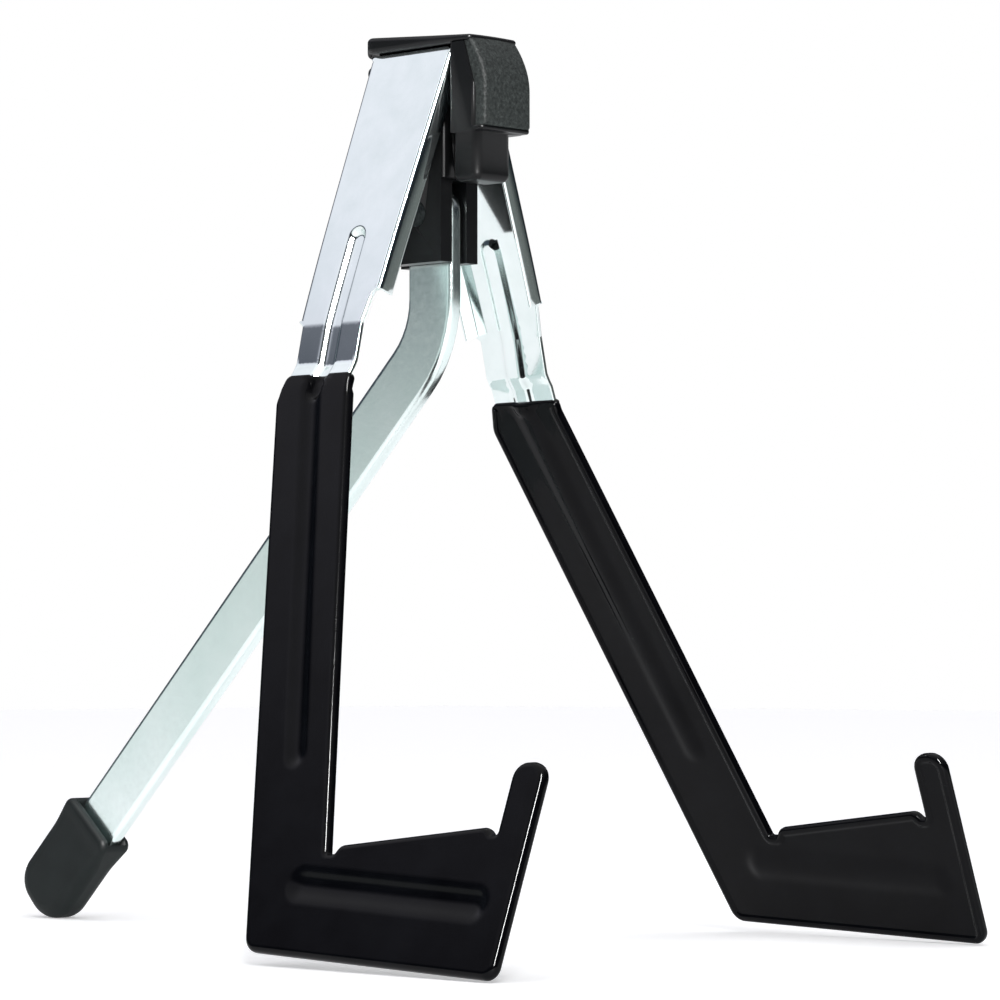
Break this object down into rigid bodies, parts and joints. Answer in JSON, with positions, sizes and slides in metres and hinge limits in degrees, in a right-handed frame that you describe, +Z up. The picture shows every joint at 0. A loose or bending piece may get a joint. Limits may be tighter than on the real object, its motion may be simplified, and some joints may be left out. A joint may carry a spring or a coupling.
{
  "type": "folding guitar stand",
  "caption": "Folding pocket guitar stand with hooked cradle legs dipped in vinyl, a bent rear leg with a rubber boot, and a padded plastic head.",
  "frame": {"origin": "on the floor in the mirror plane, midway between the front of the arms and the rear boot", "axes": "+Z up, -Y to the front where the instrument sits, +X across to the stand's left-hand side seen from the front"},
  "size_m": [0.2442, 0.366, 0.314],
  "materials": {
    "leg_chrome": "bright chrome plate",
    "leg_vinyl": "glossy dipped vinyl",
    "head_plastic": "satin moulded plastic",
    "pad_rubber": "fine grained rubber",
    "boot_rubber": "matte moulded rubber",
    "bright_steel": "bright plated steel",
    "pin_steel": "bright steel rivet",
    "washer_nylon": "natural nylon"
  },
  "bodies": {
    "head": {"head_body": "head_plastic", "head_cap": "head_plastic", "rubber_pad": "pad_rubber", "left_hinge_pin": "pin_steel", "right_hinge_pin": "pin_steel", "rear_leg_pivot": "pin_steel", "left_friction_washer": "washer_nylon", "right_friction_washer": "washer_nylon"},
    "left_leg": {"left_leg_plate": "leg_chrome", "left_leg_coating": "leg_vinyl"},
    "right_leg": {"right_leg_plate": "leg_chrome", "right_leg_coating": "leg_vinyl"},
    "rear_leg": {"rear_leg_strap": "bright_steel", "rear_boot": "boot_rubber"}
  },
  "joints": [
    {"name": "left_leg_hinge", "type": "hinge", "parent": "head", "child": "left_leg", "pos_m": [-0.0071, -0.03179, 0.303], "axis": [0, -1, 0], "range_deg": [0, 19]},
    {"name": "right_leg_hinge", "type": "hinge", "parent": "head", "child": "right_leg", "pos_m": [0.0071, -0.03179, 0.303], "axis": [0, 1, 0], "range_deg": [0, 19]},
    {"name": "rear_leg_hinge", "type": "hinge", "parent": "head", "child": "rear_leg", "pos_m": [0, -0.03504, 0.252], "axis": [-1, 0, 0], "range_deg": [0, 64]}
  ]
}
